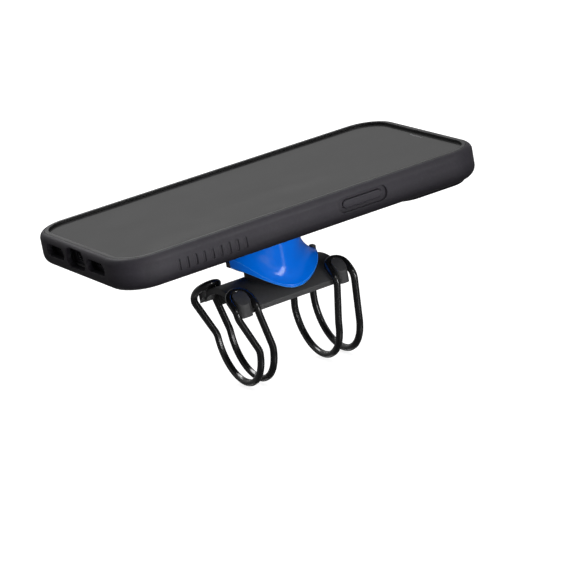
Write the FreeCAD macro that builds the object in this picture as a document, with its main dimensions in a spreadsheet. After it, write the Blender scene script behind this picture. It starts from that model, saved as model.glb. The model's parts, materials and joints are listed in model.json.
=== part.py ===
import FreeCAD, Part
import math
import os
import Sketcher

# A phone in a hard case, held by a twist lock on a saddle strapped to a bicycle stem.
# Origin: on the stem's axis, straight below the lock's axis. +X runs along the stem to the
# phone's top end, +Z is up through the lock. All sizes are in millimetres.

os.makedirs("parts", exist_ok=True)
doc = FreeCAD.newDocument("PhoneMount")
sheet = doc.addObject("Spreadsheet::Sheet", "Dimensions")

DIMENSIONS = {
    # stem and saddle
    "tube_radius": 15.0,
    "pad_outer_radius": 19.38,
    "pad_half_angle": 36.0,
    "pad_length": 40.0,
    "saddle_inner_radius": 19.4,
    "saddle_outer_radius": 21.7,
    "saddle_length": 46.0,
    "saddle_width": 30.0,
    "saddle_corner": 2.2,
    "saddle_low_z": 13.9,
    "rear_horn_x": -21.4,
    "rear_horn_length": 5.6,
    "front_horn_x": 20.7,
    "front_horn_length": 4.6,
    "horn_inner_y": 10.95,
    "horn_outer_y": 16.5,
    "horn_radius": 24.6,
    "horn_low_z": 13.4,
    "spigot_radius": 5.4,
    "spigot_flat": 4.6,
    "spigot_top_z": 27.0,
    # elastic bands
    "band_wire_radius": 1.35,
    "band_low_radius": 16.2,
    "band_free_radius": 16.37,
    "band_top_radius": 23.1,
    "band_bend_radius": 4.0,
    "band_side_y": 16.75,
    "band_elbow_radius": 3.0,
    "band_loop_angle": 32.3,
    "rear_outer_top_x": -25.7,
    "rear_outer_low_x": -19.2,
    "rear_inner_top_x": -17.1,
    "rear_inner_low_x": -13.6,
    "front_inner_top_x": 16.9,
    "front_inner_low_x": 14.9,
    "front_outer_top_x": 24.5,
    "front_outer_low_x": 23.8,
    # screw, washer and threaded insert
    "insert_radius": 3.6,
    "insert_bottom_z": 19.6,
    "insert_length": 7.1,
    "screw_radius": 2.45,
    "screw_bottom_z": 19.9,
    "screw_head_radius": 4.2,
    "screw_head_z": 39.85,
    "screw_head_height": 3.4,
    "hex_radius": 2.3,
    "hex_depth": 2.2,
    "washer_radius": 4.3,
    "washer_z": 39.02,
    "washer_thickness": 0.8,
    # lock head
    "pedestal_radius": 10.5,
    "pedestal_top_z": 25.5,
    "barrel_radius": 8.0,
    "head_top_z": 45.2,
    "lug_bottom_z": 43.95,
    "lug_radius": 10.8,
    "lug_width": 4.8,
    "counterbore_radius": 4.45,
    "counterbore_z": 39.0,
    # release collar
    "neck_radius": 12.5,
    "collar_top_z": 42.25,
    "flange_radius": 19.5,
    "flange_centre_z": 6.7,
    "flange_under_radius": 18.0,
    "flange_under_z": 8.2,
    "flange_pitch": 6.8,
    "flange_fillet": 12.0,
    "flange_centre_x": 0.9,
    "flange_half_length": 18.3,
    "flange_half_width": 15.2,
    "rear_tip_x": -15.9,
    "front_tip_x": 17.6,
    "tip_length": 1.9,
    "tip_width": 2.2,
    "tip_height": 2.2,
    "collar_guide_radius": 8.06,
    "collar_guide_z": 38.0,
    "collar_pocket_radius": 10.9,
    "ear_inner_radius": 8.45,
    "ear_outer_radius": 10.7,
    "ear_width": 4.6,
    "ear_height": 0.9,
    "ear_flat": 1.0,
    # spring
    "spring_radius": 9.45,
    "spring_wire_radius": 0.55,
    "spring_bottom_z": 26.1,
    "spring_height": 11.3,
    "spring_pitch": 2.05,
    # case
    "case_length": 153.0,
    "case_width": 77.5,
    "case_height": 12.2,
    "case_bottom_z": 42.4,
    "case_corner": 14.0,
    "case_top_fillet": 2.5,
    "case_bottom_fillet": 4.05,
    "shell_wall": 1.9,
    "shell_floor": 3.5,
    "bumper_gap": 0.05,
    "bumper_wall": 1.0,
    "lip_inset": 3.5,
    "lip_bottom_z": 53.77,
    "liner_thickness": 0.45,
    "socket_radius": 16.0,
    "socket_hole_radius": 8.3,
    "socket_lip": 1.5,
    "socket_roof_z": 45.35,
    "socket_top_z": 45.88,
    "slot_radius": 11.1,
    "slot_width": 5.2,
    "cavity_radius": 11.2,
    "stop_width": 1.4,
    "stop_angle": 22.0,
    "camera_x": 55.0,
    "camera_y": -18.0,
    "guard_size": 33.4,
    "guard_hole": 30.4,
    "guard_corner": 9.0,
    "guard_drop": 1.3,
    # openings and buttons
    "port_opening_width": 15.0,
    "port_opening_height": 7.4,
    "vent_opening_width": 14.0,
    "vent_opening_height": 4.8,
    "vent_y": 16.2,
    "opening_z": 49.8,
    "power_x": 21.7,
    "power_recess_length": 20.6,
    "power_recess_height": 5.8,
    "recess_depth": 1.0,
    "power_bar_length": 16.4,
    "bar_height": 3.0,
    "bar_proud": 0.25,
    "button_flange": 1.0,
    "button_z": 49.4,
    "volume_up_x": 30.5,
    "volume_down_x": 15.0,
    "volume_bar_length": 10.6,
    "volume_recess_length": 29.4,
    "mute_x": 45.0,
    "mute_opening_length": 10.4,
    "mute_opening_height": 5.6,
    # phone
    "phone_length": 147.0,
    "phone_width": 71.5,
    "phone_corner": 11.0,
    "phone_back_z": 46.45,
    "phone_front_z": 53.72,
    "glass_inset": 0.35,
    "back_glass_thickness": 0.77,
    "screen_thickness": 0.72,
    "frame_wall": 2.0,
    "midplate_z": 51.42,
    "midplate_thickness": 0.5,
    "plate_size": 27.6,
    "plate_corner": 7.0,
    "plate_drop": 1.0,
    "lens_ring_radius": 6.6,
    "lens_ring_drop": 1.5,
    "lens_radius": 5.3,
    "lens_offset": 6.3,
}

FIT_GAP = 0.03
GROOVE_COUNT = 9
GROOVE_START_X = -55.0
GROOVE_PITCH = 3.4
GROOVE_WIDTH = 1.3
GROOVE_HEIGHT = 4.2
GROOVE_DEPTH = 0.45
SPEAKER_HOLES = 5
SPEAKER_PITCH = 2.1

for row, (alias, value) in enumerate(DIMENSIONS.items(), start=1):
    sheet.set(f"A{row}", alias)
    sheet.set(f"B{row}", str(value))
    sheet.setAlias(f"B{row}", alias)
doc.recompute()

ROTATIONS = {
    "X": FreeCAD.Rotation(FreeCAD.Vector(0, 1, 0), 90),
    "Y": FreeCAD.Rotation(FreeCAD.Vector(1, 0, 0), -90),
    "Z": FreeCAD.Rotation(),
}
nodes = []


def dim(alias):
    """A driving dimension as a number."""
    return float(sheet.get(alias))


def text(size):
    """A size as an expression: an alias, a formula of aliases in braces, or a number."""
    if isinstance(size, (int, float)):
        return repr(float(size))
    if "{" in size:
        return size.replace("{", "Dimensions.").replace("}", "")
    return "Dimensions." + size


def place(item, x, y, z):
    """Bind an object's position to the sheet."""
    item.setExpression("Placement.Base.x", text(x))
    item.setExpression("Placement.Base.y", text(y))
    item.setExpression("Placement.Base.z", text(z))
    return item


def block(name, x, y, z, length, width, height):
    """A box from its low corner."""
    item = doc.addObject("Part::Box", name)
    item.setExpression("Length", text(length))
    item.setExpression("Width", text(width))
    item.setExpression("Height", text(height))
    return place(item, x, y, z)


def rod(name, axis, radius, start, length, first=0, second=0):
    """A cylinder along a frame axis, from start, at the other two coordinates."""
    item = doc.addObject("Part::Cylinder", name)
    item.setExpression("Radius", text(radius))
    item.setExpression("Height", text(length))
    item.Placement = FreeCAD.Placement(FreeCAD.Vector(), ROTATIONS[axis])
    spots = {"X": (start, first, second), "Y": (first, start, second)}
    return place(item, *spots.get(axis, (first, second, start)))


def fused(name, *shapes):
    item = doc.addObject("Part::MultiFuse", name)
    item.Shapes = list(shapes)
    item.Refine = True
    return item


def shared(name, *shapes):
    item = doc.addObject("Part::MultiCommon", name)
    item.Shapes = list(shapes)
    item.Refine = True
    return item


def minus(name, base, *tools):
    """Cut one or more tools from a base."""
    item = doc.addObject("Part::Cut", name)
    item.Base = base
    item.Tool = tools[0] if len(tools) == 1 else fused(name + "_tools", *tools)
    item.Refine = True
    return item


def rounded(name, base, radius, wanted):
    """Fillet the edges that the function wanted picks."""
    doc.recompute()
    picked = [i for i, edge in enumerate(base.Shape.Edges, start=1) if wanted(edge)]
    item = doc.addObject("Part::Fillet", name)
    item.Base = base
    item.Edges = [(i, radius, radius) for i in picked]
    return item


def along(axis):
    """Picks straight edges that run along a frame axis."""
    index = "XYZ".index(axis)

    def wanted(edge):
        if edge.Curve.TypeId != "Part::GeomLine":
            return False
        return abs(abs(edge.Curve.Direction[index]) - 1) < 1e-6

    return wanted


def at_height(z):
    """Picks edges that lie in one horizontal plane."""

    def wanted(edge):
        box = edge.BoundBox
        return abs(box.ZMin - z) < 1e-4 and abs(box.ZMax - z) < 1e-4

    return wanted


def slug(name, axis, middle, start, depth, length, height, corner):
    """A rounded bar that goes along an axis, to cut a window with or to be a button."""
    across, up = middle
    if axis == "X":
        low = (start, across - length / 2, up - height / 2)
        sizes = (depth, length, height)
    else:
        low = (across - length / 2, start, up - height / 2)
        sizes = (length, depth, height)
    base = block(name + "_block", *low, *sizes)
    return rounded(name, base, corner, along(axis))


def outline(sketch, length, width, radius):
    """A closed rounded rectangle round the sketch's origin, driven by the sheet."""
    half_l = dim(length) / 2 if isinstance(length, str) else length / 2
    half_w = dim(width) / 2 if isinstance(width, str) else width / 2
    r = dim(radius) if isinstance(radius, str) else radius
    ends = [(half_l, half_w), (-half_l, half_w), (-half_l, -half_w), (half_l, -half_w)]
    centres = [(math.copysign(abs(x) - r, x), math.copysign(abs(y) - r, y)) for x, y in ends]
    up = FreeCAD.Vector(0, 0, 1)
    for k in range(4):
        centre = FreeCAD.Vector(*centres[k], 0)
        following = FreeCAD.Vector(*centres[(k + 1) % 4], 0)
        turn = math.radians(90 * k + 90)
        reach = FreeCAD.Vector(r * math.cos(turn), r * math.sin(turn), 0)
        circle = Part.Circle(centre, up, r)
        sketch.addGeometry(Part.ArcOfCircle(circle, turn - math.pi / 2, turn))
        sketch.addGeometry(Part.LineSegment(centre + reach, following + reach))
    for k in range(4):
        sketch.addConstraint(Sketcher.Constraint("Tangent", 2 * k, 2, 2 * k + 1, 1))
        sketch.addConstraint(Sketcher.Constraint("Tangent", 2 * k + 1, 2, (2 * k + 2) % 8, 1))
    sketch.addConstraint(Sketcher.Constraint("Horizontal", 1))
    sketch.addConstraint(Sketcher.Constraint("Horizontal", 5))
    sketch.addConstraint(Sketcher.Constraint("Vertical", 3))
    sketch.addConstraint(Sketcher.Constraint("Vertical", 7))
    for k in (2, 4, 6):
        sketch.addConstraint(Sketcher.Constraint("Equal", 0, k))
    sketch.addConstraint(Sketcher.Constraint("Symmetric", 0, 3, 4, 3, -1, 1))
    for kind, first, second, size, value in (
        ("DistanceX", 3, 7, length, 2 * half_l),
        ("DistanceY", 5, 1, width, 2 * half_w),
    ):
        index = sketch.addConstraint(Sketcher.Constraint(kind, first, 1, second, 1, value))
        if isinstance(size, str):
            sketch.setExpression(f"Constraints[{index}]", text(size))
    index = sketch.addConstraint(Sketcher.Constraint("Radius", 0, r))
    if isinstance(radius, str):
        sketch.setExpression(f"Constraints[{index}]", text(radius))


def plate(name, length, width, radius, z, height, x=0, y=0):
    """A body padded up from z, with a rounded rectangular outline."""
    body = doc.addObject("PartDesign::Body", name)
    sketch = body.newObject("Sketcher::SketchObject", name + "_outline")
    plane = [f for f in body.Origin.OriginFeatures if f.Role == "XY_Plane"][0]
    sketch.AttachmentSupport = (plane, [""])
    sketch.MapMode = "FlatFace"
    sketch.setExpression("AttachmentOffset.Base.x", text(x))
    sketch.setExpression("AttachmentOffset.Base.y", text(y))
    sketch.setExpression("AttachmentOffset.Base.z", text(z))
    outline(sketch, length, width, radius)
    pad = body.newObject("PartDesign::Pad", name + "_pad")
    pad.Profile = sketch
    pad.setExpression("Length", text(height))
    sketch.Visibility = False
    body.Tip = pad
    return body


def body_fillet(body, radius, wanted):
    """Fillet the tip feature's edges that the function wanted picks."""
    doc.recompute()
    base = body.Tip
    names = [f"Edge{i}" for i, edge in enumerate(base.Shape.Edges, start=1) if wanted(edge)]
    fillet = body.newObject("PartDesign::Fillet", f"{body.Name}_fillet{len(body.Group)}")
    fillet.Base = (base, names)
    fillet.Radius = radius
    body.Tip = fillet
    return body


def node(item, label):
    """Name a finished sub-part and keep it for export."""
    item.Label = label
    nodes.append((item, label))
    return item


def around(make, angles):
    """One tool at each angle about the lock's axis."""
    tools = []
    for k, angle in enumerate(angles):
        tool = make(k)
        spin = FreeCAD.Rotation(FreeCAD.Vector(0, 0, 1), angle)
        tool.Placement = FreeCAD.Placement(FreeCAD.Vector(), spin) * tool.Placement
        tools.append(tool)
    return tools


# ---------------------------------------------------------------- base


def horn(name, end, side_y):
    """One rib that a band hooks behind."""
    x = dim(end + "_horn_x") - dim(end + "_horn_length") / 2
    depth = dim("horn_outer_y") - dim("horn_inner_y")
    y = dim("horn_inner_y") if side_y > 0 else -dim("horn_outer_y")
    low = dim("horn_low_z")
    base = block(name + "_block", x, y, low, end + "_horn_length", depth, 30 - low)
    soft = rounded(name + "_soft", base, 1.8, along("Z"))
    crown = rod(name + "_crown", "X", "horn_radius", -40, 80)
    top = shared(name + "_top", soft, crown)
    hollow = rod(name + "_hollow", "X", "{saddle_inner_radius} + 1", -40, 80)
    return minus(name, top, hollow)


def make_saddle():
    outer = rod("saddle_outer", "X", "saddle_outer_radius", "-{saddle_length} / 2", "saddle_length")
    limits = plate(
        "saddle_limits", "saddle_length", "saddle_width", "saddle_corner", "saddle_low_z", 20
    )
    dome = shared("saddle_dome", outer, limits)
    dome = rounded("saddle_dome_soft", dome, 0.5, lambda e: e.BoundBox.ZMin > dim("saddle_low_z") + 0.2)
    horns = []
    for end in ("rear", "front"):
        for k, side in enumerate((-1, 1)):
            horns.append(horn(f"{end}_horn_{k}", end, side))
    spigot = shared(
        "saddle_spigot",
        rod("spigot_rod", "Z", "spigot_radius", 19, "{spigot_top_z} - 19"),
        block("spigot_flats", -8, "-{spigot_flat}", 18, 16, "{spigot_flat} * 2", 12),
    )
    solid = fused("saddle_solid", dome, spigot, *horns)
    hollow = rod("saddle_hollow", "X", "saddle_inner_radius", -40, 80)
    hole = rod("insert_hole", "Z", "{insert_radius} + 0.02", 10, 30)
    return node(minus("base_saddle", solid, hollow, hole), "base_saddle")


def make_pad():
    outer = rod("pad_outer", "X", "pad_outer_radius", "-{pad_length} / 2", "pad_length")
    inner = rod("pad_inner", "X", "tube_radius", -40, 80)
    ring = minus("pad_ring", outer, inner)
    corners = []
    half = math.radians(dim("pad_half_angle"))
    for reach in (-half, half):
        corners.append(FreeCAD.Vector(-60, 40 * math.sin(reach), 40 * math.cos(reach)))
    wedge = doc.addObject("Part::Feature", "pad_wedge")
    start = FreeCAD.Vector(-60, 0, 0)
    wire = Part.makePolygon([start, corners[0], corners[1], start])
    wedge.Shape = Part.Face(wire).extrude(FreeCAD.Vector(120, 0, 0))
    return node(shared("grip_pad", ring, wedge), "grip_pad")


def lean_edges(start, end, shift):
    """An elbow, a straight and an elbow that carry a strand sideways on its way down."""
    down = end - start
    height = down.Length
    down = down / height
    radius = math.copysign(dim("band_elbow_radius"), shift)
    reach = shift - 2 * radius
    turn = math.acos(-2 * radius / math.copysign(math.hypot(reach, height), radius))
    turn = abs(turn - math.atan2(height, abs(reach) * -1))
    side = FreeCAD.Vector(1, 0, 0)

    def elbow(origin, angle, way):
        """A point on an elbow, from its vertical end."""
        return origin + way * (side * radius * (1 - math.cos(angle)) + down * abs(radius) * math.sin(angle))

    last = end + side * shift
    first_arc = Part.Arc(start, elbow(start, turn / 2, 1), elbow(start, turn, 1))
    straight = Part.LineSegment(elbow(start, turn, 1), elbow(last, turn, -1))
    last_arc = Part.Arc(elbow(last, turn, -1), elbow(last, turn / 2, -1), last)
    return [first_arc, straight, last_arc]


def strand_edges(name, low):
    """One strand's centreline, from the far loop round under the stem to the near loop."""
    x = dim(name + "_top_x")
    shift = dim(name + "_low_x") - x
    top = dim("band_top_radius")
    bend = dim("band_bend_radius")
    bend_y = dim("band_side_y") - bend
    bend_z = math.sqrt((top - bend) ** 2 - bend_y**2)
    loop = math.radians(dim("band_loop_angle"))
    bend_angle = math.atan2(bend_y, bend_z)
    slope = math.atan2(bend_z, bend_y) - math.acos((low - bend) / (top - bend))
    level = math.pi / 2 - slope

    def point(radius, angle, y=0.0, z=0.0, side=1):
        """A point at an angle from the vertical, about (y, z)."""
        return FreeCAD.Vector(x, side * (y + radius * math.sin(angle)), z + radius * math.cos(angle))

    def side_edges(side):
        half_cap = (loop + bend_angle) / 2
        half_bend = (bend_angle + level) / 2
        crown = Part.Arc(
            point(top, loop, side=side), point(top, half_cap, side=side), point(top, bend_angle, side=side)
        )
        shoulder = Part.Arc(
            point(top, bend_angle, side=side),
            point(bend, half_bend, bend_y, bend_z, side),
            point(bend, level, bend_y, bend_z, side),
        )
        drop = lean_edges(point(bend, level, bend_y, bend_z, side), point(low, level, side=side), shift)
        return [crown, shoulder] + drop

    sideways = FreeCAD.Vector(shift, 0, 0)
    under = Part.Arc(
        point(low, level) + sideways, point(low, math.pi) + sideways, point(low, level, side=-1) + sideways
    )
    return side_edges(1) + [under] + side_edges(-1)


def round_bar(curve, radius):
    """A round bar along a straight line or an arc."""
    edge = curve.toShape()
    start = edge.valueAt(edge.FirstParameter)
    direction = edge.tangentAt(edge.FirstParameter)
    face = Part.Face(Part.Wire(Part.makeCircle(radius, start, direction)))
    if isinstance(curve, Part.LineSegment):
        return face.extrude(curve.EndPoint - curve.StartPoint)
    turn = math.degrees(edge.LastParameter - edge.FirstParameter)
    return face.revolve(edge.Curve.Center, edge.Curve.Axis, turn)


def make_band(label, strands):
    """A closed elastic ring: two strands under the stem, joined by a loop behind each horn."""
    top = dim("band_top_radius")
    loop = math.radians(dim("band_loop_angle"))
    curves = []
    for name, low in strands:
        curves += strand_edges(name, dim(low))
    sides = [dim(name + "_top_x") for name, low in strands]
    middle = sum(sides) / 2
    gap = abs(sides[1] - sides[0]) / 2
    for side in (-1, 1):
        y = side * (top * math.sin(loop) - gap * math.cos(loop))
        z = top * math.cos(loop) + gap * math.sin(loop)
        ends = [FreeCAD.Vector(x, side * top * math.sin(loop), top * math.cos(loop)) for x in sides]
        curves.append(Part.Arc(ends[0], FreeCAD.Vector(middle, y, z), ends[1]))
    bars = [round_bar(curve, dim("band_wire_radius")) for curve in curves]
    ring = bars[0].multiFuse(bars[1:])
    tube = Part.makeCylinder(
        dim("tube_radius"), 80, FreeCAD.Vector(-40, 0, 0), FreeCAD.Vector(1, 0, 0)
    )
    band = doc.addObject("Part::Feature", label)
    band.Shape = ring.cut(tube).removeSplitter().Solids[0]
    return node(band, label)


def make_fasteners():
    outside = rod("insert_body", "Z", "insert_radius", "insert_bottom_z", "insert_length")
    inside = rod("insert_bore", "Z", "{screw_radius} + 0.03", 10, 30)
    grooves = []
    for k, z in enumerate((21.2, 23.0, 24.8)):
        ring = rod(f"insert_groove_{k}", "Z", "{insert_radius} + 1", z, 0.5)
        core = rod(f"insert_core_{k}", "Z", "{insert_radius} - 0.3", z - 1, 3)
        grooves.append(minus(f"insert_ring_{k}", ring, core))
    insert = minus("threaded_insert", outside, inside, *grooves)
    node(insert, "threaded_insert")

    length = "{screw_head_z} - {screw_bottom_z} + 1"
    shank = rod("screw_shank", "Z", "screw_radius", "screw_bottom_z", length)
    head = rod("screw_head", "Z", "screw_head_radius", "screw_head_z", "screw_head_height")
    head = rounded("screw_head_soft", head, 0.5, at_height(dim("screw_head_z") + dim("screw_head_height")))
    hexagon = doc.addObject("Part::Prism", "screw_hex")
    hexagon.Polygon = 6
    hexagon.setExpression("Circumradius", text("hex_radius"))
    hexagon.setExpression("Height", text("{hex_depth} + 1"))
    place(hexagon, 0, 0, "{screw_head_z} + {screw_head_height} - {hex_depth}")
    screw = minus("head_screw", fused("screw_solid", shank, head), hexagon)
    node(screw, "head_screw")

    disc = rod("washer_disc", "Z", "washer_radius", "washer_z", "washer_thickness")
    hole = rod("washer_hole", "Z", "{screw_radius} + 0.15", 30, 20)
    node(minus("screw_washer", disc, hole), "screw_washer")


def make_lock_head():
    pedestal = rod("pedestal", "Z", "pedestal_radius", 15, "{pedestal_top_z} - 15")
    pedestal = rounded("pedestal_soft", pedestal, 0.6, at_height(dim("pedestal_top_z")))
    barrel = rod("barrel", "Z", "barrel_radius", 16, "{head_top_z} - 16")
    barrel = rounded("barrel_soft", barrel, 0.4, at_height(dim("head_top_z")))
    height = "{head_top_z} - {lug_bottom_z}"
    cross = [
        block("lug_bar_x", "-{lug_radius} - 1", "-{lug_width} / 2", "lug_bottom_z",
              "{lug_radius} * 2 + 2", "lug_width", height),
        block("lug_bar_y", "-{lug_width} / 2", "-{lug_radius} - 1", "lug_bottom_z",
              "lug_width", "{lug_radius} * 2 + 2", height),
    ]
    disc = rod("lug_disc", "Z", "lug_radius", "lug_bottom_z", height)
    lugs = shared("lugs", fused("lug_cross", *cross), disc)
    solid = fused("head_solid", pedestal, barrel, lugs)
    saddle = rod("head_saddle", "X", "{saddle_outer_radius} + 0.02", -40, 80)
    recess = shared(
        "head_recess",
        rod("recess_rod", "Z", "{spigot_radius} + 0.05", 10, "{spigot_top_z} + 0.1 - 10"),
        block("recess_flats", -8, "-{spigot_flat} - 0.05", 9, 16, "{spigot_flat} * 2 + 0.1", 25),
    )
    bore = rod("head_bore", "Z", "{screw_radius} + 0.2", 10, 40)
    counterbore = rod("head_counterbore", "Z", "counterbore_radius", "counterbore_z", 20)
    return node(minus("lock_head", solid, saddle, recess, bore, counterbore), "lock_head")


# ---------------------------------------------------------------- release collar


def almond(name):
    """An upright prism with an almond outline."""
    length = dim("flange_half_length")
    width = dim("flange_half_width")
    radius = (length**2 + width**2) / (2 * width)
    shift = radius - width
    x = dim("flange_centre_x")
    sides = [rod(f"{name}_{k}", "Z", radius, 5, 60, x, y) for k, y in enumerate((-shift, shift))]
    return shared(name, *sides)


def ear(k):
    """A ramped ear that stands in one slot of the case's socket."""
    wedge = doc.addObject("Part::Wedge", f"ear_{k}")
    half = dim("ear_width") / 2
    wedge.Xmin, wedge.Xmax = -half, half
    wedge.X2min, wedge.X2max = -half, -half + dim("ear_flat")
    wedge.Ymin, wedge.Ymax = -1.0, dim("ear_height")
    wedge.Zmin, wedge.Zmax = -dim("ear_outer_radius"), -dim("ear_inner_radius")
    wedge.Z2min, wedge.Z2max = wedge.Zmin, wedge.Zmax
    upright = FreeCAD.Rotation(FreeCAD.Vector(1, 0, 0), 90)
    wedge.Placement = FreeCAD.Placement(FreeCAD.Vector(0, 0, dim("collar_top_z")), upright)
    return wedge


def pitched(name, radius, centre_z):
    """A cylinder along the flange's pitched arch."""
    arch = doc.addObject("Part::Cylinder", name)
    arch.setExpression("Radius", text(radius))
    arch.Height = 80
    lean = FreeCAD.Rotation(FreeCAD.Vector(0, 1, 0), 90 + dim("flange_pitch"))
    start = lean.multVec(FreeCAD.Vector(0, 0, -40))
    arch.Placement = FreeCAD.Placement(start + FreeCAD.Vector(0, 0, dim(centre_z)), lean)
    return arch


def make_collar():
    drum = rod("flange_drum", "Z", 29, 0, 60)
    upper = block("flange_upper", -40, -40, 13, 80, 80, 60)
    arch = pitched("flange_arch", "flange_radius", "flange_centre_z")
    flange = shared("flange_half", shared("flange_block", drum, arch), upper)
    neck = rod("neck", "Z", "neck_radius", 15, "{collar_top_z} - 15")
    body = fused("collar_rough", flange, neck)

    def joint_line(edge):
        middle = edge.valueAt((edge.FirstParameter + edge.LastParameter) / 2)
        reach = math.hypot(middle.x, middle.y)
        return abs(reach - dim("neck_radius")) < 0.01 and 20 < middle.z < 30 and edge.Length > 5

    body = rounded("collar_flared", body, dim("flange_fillet"), joint_line)
    body = rounded("collar_soft", body, 0.6, at_height(dim("collar_top_z")))
    body = shared("collar_trim", body, almond("collar_almond"))
    width = dim("tip_width") + 2 * FIT_GAP
    notches = [
        block("collar_notch_rear", "{rear_tip_x} - 20", -width / 2, 0, 20, width, 60),
        block("collar_notch_front", "front_tip_x", -width / 2, 0, 20, width, 60),
    ]
    under = pitched("collar_under", "flange_under_radius", "flange_under_z")
    guide = rod("collar_guide", "Z", "collar_guide_radius", 0, 60)
    pocket = rod("collar_pocket", "Z", "collar_pocket_radius", 0, "collar_guide_z")
    body = minus("collar_body", body, under, guide, pocket, *notches)
    ears = around(ear, [45 + 90 * k - 90 for k in range(4)])
    node(fused("release_collar", body, *ears), "release_collar")

    for label, side in (("collar_tip_rear", -1), ("collar_tip_front", 1)):
        length, width = dim("tip_length"), dim("tip_width")
        start = dim("front_tip_x" if side > 0 else "rear_tip_x") + side * FIT_GAP
        x = start if side > 0 else start - length
        slope = (start + side * length / 2) * math.tan(math.radians(dim("flange_pitch")))
        low = dim("flange_under_z") + dim("flange_under_radius") - slope
        base = block(label + "_block", x, -width / 2, low, length, width, "tip_height")
        outer = start + side * length
        node(rounded(label, base, 0.6, lambda edge: abs(edge.BoundBox.Center.x - outer) < 1e-4), label)


def make_spring():
    """A coil of round wire, in one piece for each turn of the path."""
    pitch, radius, wire = dim("spring_pitch"), dim("spring_radius"), dim("spring_wire_radius")
    path = Part.Wire(Part.makeLongHelix(pitch, dim("spring_height"), radius).Edges)
    start = FreeCAD.Vector(radius, 0, 0)
    section = Part.Wire(Part.makeCircle(wire, start, FreeCAD.Vector(0, 2 * math.pi * radius, pitch)))
    spring = doc.addObject("Part::Feature", "collar_spring")
    spring.Shape = path.makePipeShell([section], True, True)
    place(spring, 0, 0, "spring_bottom_z")
    return node(spring, "collar_spring")


# ---------------------------------------------------------------- case


def end_windows(name, start, depth, grow=0.0):
    """Three windows through the phone's lower end."""
    z = dim("opening_z")
    width = dim("port_opening_width") + grow
    height = dim("port_opening_height") + grow
    tools = [slug(name + "_port", "X", (0.0, z), start, depth, width, height, height * 0.46)]
    width = dim("vent_opening_width") + grow
    height = dim("vent_opening_height") + grow
    for k, y in enumerate((-dim("vent_y"), dim("vent_y"))):
        tools.append(slug(f"{name}_vent_{k}", "X", (y, z), start, depth, width, height, height * 0.46))
    return tools


def grooves():
    """A short row of upright grooves as a generic mark on the case's side."""
    tools = []
    y = -dim("case_width") / 2 - 1
    for k in range(GROOVE_COUNT):
        x = GROOVE_START_X + k * GROOVE_PITCH
        tools.append(
            slug(f"groove_{k}", "Y", (x, 48.2), y, 1 + GROOVE_DEPTH, GROOVE_WIDTH, GROOVE_HEIGHT, 0.55)
        )
    return tools


def make_shell():
    low = dim("case_bottom_z")
    high = low + dim("case_height")
    body = plate("shell_outer", "case_length", "case_width", "case_corner", "case_bottom_z", "case_height")
    body_fillet(body, dim("case_bottom_fillet"), at_height(low))
    body_fillet(body, dim("case_top_fillet"), at_height(high))
    wall = dim("shell_wall")
    inside = plate(
        "shell_inside",
        dim("case_length") - 2 * wall,
        dim("case_width") - 2 * wall,
        dim("case_corner") - wall,
        "{case_bottom_z} + {shell_floor}",
        20,
    )
    tools = [inside, rod("shell_socket_hole", "Z", "{socket_radius} + 0.03", 30, 30)]
    tools.append(
        plate("shell_guard_hole", dim("guard_size") + 0.06, dim("guard_size") + 0.06, dim("guard_corner"),
              30, 20, "camera_x", "camera_y")
    )
    tools += end_windows("shell_end", -80, 8)
    side = dim("case_width") / 2
    z = dim("button_z")
    bar = dim("bar_height") + 0.3
    recess = dim("power_recess_height")
    x = dim("power_x")
    depth = dim("recess_depth")
    length = dim("power_recess_length")
    tools.append(slug("power_recess", "Y", (x, z), -side - 2, 2 + depth, length, recess, 2.7))
    tools.append(slug("power_window", "Y", (x, z), -side - 2, 6, dim("power_bar_length") + 0.3, bar, 1.5))
    middle = (dim("volume_up_x") + dim("volume_down_x")) / 2
    length = dim("volume_recess_length")
    tools.append(slug("volume_recess", "Y", (middle, z), side - depth, 2 + depth, length, recess, 2.7))
    for name in ("volume_up", "volume_down"):
        window = dim("volume_bar_length") + 0.3
        tools.append(slug(name + "_window", "Y", (dim(name + "_x"), z), side - 4, 6, window, bar, 1.5))
    length, height = dim("mute_opening_length"), dim("mute_opening_height")
    tools.append(slug("mute_window", "Y", (dim("mute_x"), z), side - 4, 6, length, height, 2.5))
    tools += grooves()
    return node(minus("case_shell", body, *tools), "case_shell")


def make_bumper():
    outer_inset = dim("shell_wall") + dim("bumper_gap")
    inner_inset = outer_inset + dim("bumper_wall")
    length, width, corner = dim("case_length"), dim("case_width"), dim("case_corner")
    top = dim("case_bottom_z") + dim("case_height")
    floor = dim("case_bottom_z") + dim("shell_floor") + FIT_GAP
    body = plate(
        "bumper_outer", length - 2 * outer_inset, width - 2 * outer_inset, corner - outer_inset,
        floor, top - floor,
    )
    body_fillet(body, 0.3, at_height(top))
    inside = plate(
        "bumper_inside", length - 2 * inner_inset, width - 2 * inner_inset, corner - inner_inset,
        floor - 5, dim("lip_bottom_z") - floor + 5,
    )
    lip = dim("lip_inset")
    mouth = plate("bumper_mouth", length - 2 * lip, width - 2 * lip, corner - lip, 50, 10)
    tools = [inside, mouth] + end_windows("bumper_end", -80, 8, 0.4)
    z = dim("button_z")
    side = dim("phone_width") / 2 + 1
    flange = dim("bar_height") + 2 * dim("button_flange") + 0.4
    wide = 2 * dim("button_flange") + 0.4
    spots = [("power_x", "power_bar_length", -1), ("volume_up_x", "volume_bar_length", 1),
             ("volume_down_x", "volume_bar_length", 1)]
    for k, (x, bar, where) in enumerate(spots):
        start = where * side - 2
        tools.append(slug(f"bumper_window_{k}", "Y", (dim(x), z), start, 4, dim(bar) + wide, flange, 1.6))
    length, height = dim("mute_opening_length") + 0.6, dim("mute_opening_height") - 0.4
    tools.append(slug("bumper_mute", "Y", (dim("mute_x"), z), side - 2, 4, length, height, 2.2))
    return node(minus("case_bumper", body, *tools), "case_bumper")


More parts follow.
